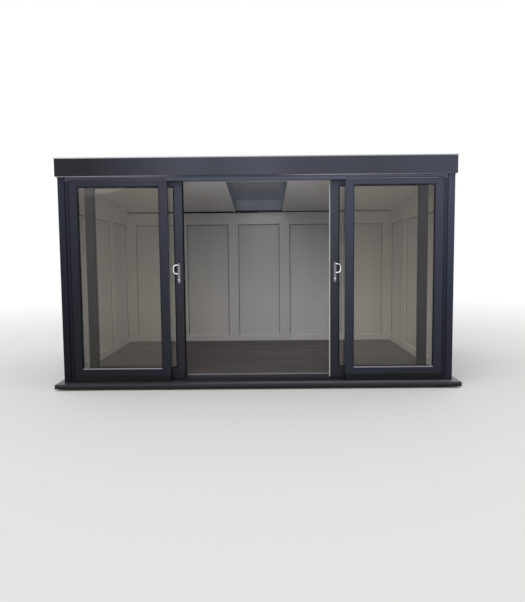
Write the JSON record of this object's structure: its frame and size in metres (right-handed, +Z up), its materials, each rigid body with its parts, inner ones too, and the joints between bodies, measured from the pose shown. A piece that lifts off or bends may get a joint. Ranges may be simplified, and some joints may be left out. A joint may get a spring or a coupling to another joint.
{
  "type": "garden office pod",
  "caption": "Flat roofed garden office pod with framed panel walls, fixed glazed panes and two sliding glazed doors that stand open.",
  "frame": {"origin": "on the ground under the middle of the base", "axes": "+X along the front to the right as seen from outside, +Y from the front to the back, +Z up"},
  "size_m": [4.38, 2.86, 2.5042],
  "materials": {
    "anthracite": "satin",
    "fascia": "gloss",
    "dark_sill": "satin",
    "white_inner": "satin",
    "laminate": "satin",
    "timber": "sawn",
    "clear_glass": "clear",
    "tinted_glass": "tinted",
    "bright_handle": "polished",
    "rail_aluminium": "mill",
    "roller_steel": "plain",
    "roof_cover": "matt"
  },
  "bodies": {
    "pod": {"base_frame": "timber", "front_ledge": "dark_sill", "back_ledge": "dark_sill", "side_ledges": "dark_sill", "floor_deck": "timber", "laminate_floor": "laminate", "front_posts": "anthracite", "back_posts": "anthracite", "wall_sills": "anthracite", "wall_headers": "anthracite", "back_wall_frames": "anthracite", "back_wall_panels": "anthracite", "left_wall_frames": "anthracite", "left_wall_panels": "anthracite", "right_wall_frames": "anthracite", "right_wall_panels": "anthracite", "door_threshold": "anthracite", "track_rails": "rail_aluminium", "floor_edge_strip": "white_inner", "fixed_kerbs": "anthracite", "door_jambs": "anthracite", "door_head": "anthracite", "head_channel": "white_inner", "left_fixed_sash": "anthracite", "right_fixed_sash": "anthracite", "fixed_glass": "clear_glass", "ceiling_panels": "white_inner", "roof_panels": "roof_cover", "rooflight_curb": "white_inner", "rooflight_glass": "tinted_glass", "rooflight_frame": "anthracite", "front_fascia": "fascia", "side_fascias": "fascia", "back_fascia": "fascia", "roof_upstands": "roof_cover", "roof_trim": "fascia", "back_gutter": "fascia"},
    "left_door": {"left_door_sash": "anthracite", "left_door_glass": "clear_glass", "left_door_rollers": "roller_steel", "left_door_handles": "bright_handle"},
    "right_door": {"right_door_sash": "anthracite", "right_door_glass": "clear_glass", "right_door_rollers": "roller_steel", "right_door_handles": "bright_handle"}
  },
  "joints": [
    {"name": "left_door_slide", "type": "slide", "parent": "pod", "child": "left_door", "axis": [1, 0, 0], "range_m": [0, 0.7885]},
    {"name": "right_door_slide", "type": "slide", "parent": "pod", "child": "right_door", "axis": [-1, 0, 0], "range_m": [0, 0.7885]}
  ]
}
